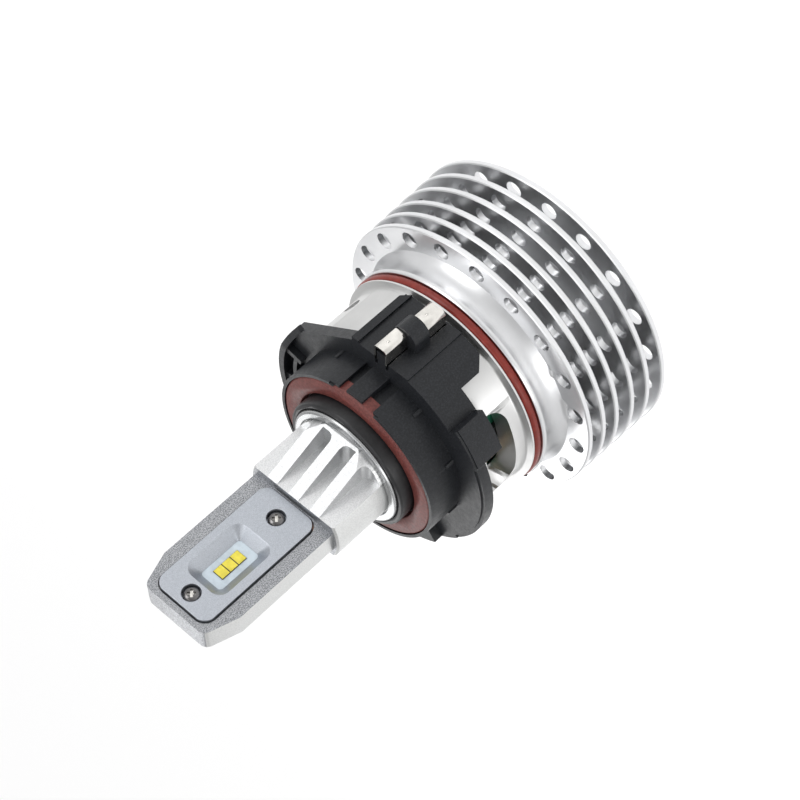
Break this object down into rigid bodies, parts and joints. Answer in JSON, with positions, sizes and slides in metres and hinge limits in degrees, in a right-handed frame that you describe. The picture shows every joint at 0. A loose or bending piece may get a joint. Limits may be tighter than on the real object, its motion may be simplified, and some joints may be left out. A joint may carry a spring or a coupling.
{
  "type": "headlight bulb",
  "caption": "Two-sided LED headlight bulb: finned round heat sink, neck, keyed base collar with spring contacts and a flat lamp stem.",
  "frame": {"origin": "on the lamp axis, at the flat back face of the heat sink", "axes": "+Z along the lamp axis towards the tip; -Y is the side of the front LEDs and of the contacts; +X completes the right-hand frame"},
  "size_m": [0.042, 0.042, 0.0661],
  "materials": {
    "sink_metal": "bright turned aluminium, anodised clear",
    "neck_metal": "satin turned aluminium",
    "cast_metal": "die-cast aluminium, bead blasted, with machined lands",
    "cover_metal": "fine blasted aluminium plate",
    "copper": "copper core strip",
    "nickel": "bright nickel-plated spring strip",
    "dark_steel": "black oxide screws",
    "red_seal": "red silicone ring",
    "red_gasket": "matte red silicone flat gasket",
    "black_seal": "black rubber ring",
    "base_plastic": "black glass-filled plastic",
    "grey_plug": "grey sealing plug",
    "led_board": "pale LED circuit board",
    "phosphor": "yellow phosphor-coated chips",
    "circuit_board": "green circuit board",
    "component_black": "moulded component bodies",
    "component_tan": "ceramic chip capacitors",
    "component_sleeve": "sleeved capacitor can",
    "potting": "grey silicone potting",
    "lead_red": "insulated lead"
  },
  "bodies": {
    "lamp": {"heat_sink": "sink_metal", "stem_bolt": "dark_steel", "neck_body": "neck_metal", "body_o_ring": "red_seal", "fill_hole_plug": "grey_plug", "lamp_stem": "cast_metal", "stem_seal_ring": "black_seal", "core_plate": "copper", "led_board_front": "led_board", "led_board_rear": "led_board", "led_chips_front": "phosphor", "led_chips_rear": "phosphor", "cover_plate_front": "cover_metal", "cover_plate_rear": "cover_metal", "cover_screws_front": "dark_steel", "cover_screws_rear": "dark_steel", "driver_board": "circuit_board", "driver_chip": "component_black", "driver_inductor": "component_black", "driver_capacitors": "component_tan", "bulk_capacitor": "component_sleeve", "driver_potting": "potting", "core_leads": "lead_red"},
    "base": {"base_collar": "base_plastic", "base_gasket": "red_gasket", "contact_carrier": "base_plastic", "contact_leads": "lead_red"},
    "front_contact": {"contact_clip_front": "nickel"},
    "rear_contact": {"contact_clip_rear": "nickel"}
  },
  "joints": [
    {"name": "collar_clocking", "type": "hinge", "parent": "lamp", "child": "base", "pos_m": [0, 0, 0.0302], "axis": [0, 0, 1], "range_deg": [-5, 5]},
    {"name": "front_contact_press", "type": "slide", "parent": "base", "child": "front_contact", "axis": [0, 1, 0], "range_m": [0, 0.00035], "stiffness_N_per_m": 2000},
    {"name": "rear_contact_press", "type": "slide", "parent": "base", "child": "rear_contact", "axis": [0, 1, 0], "range_m": [0, 0.00035], "stiffness_N_per_m": 2000}
  ]
}
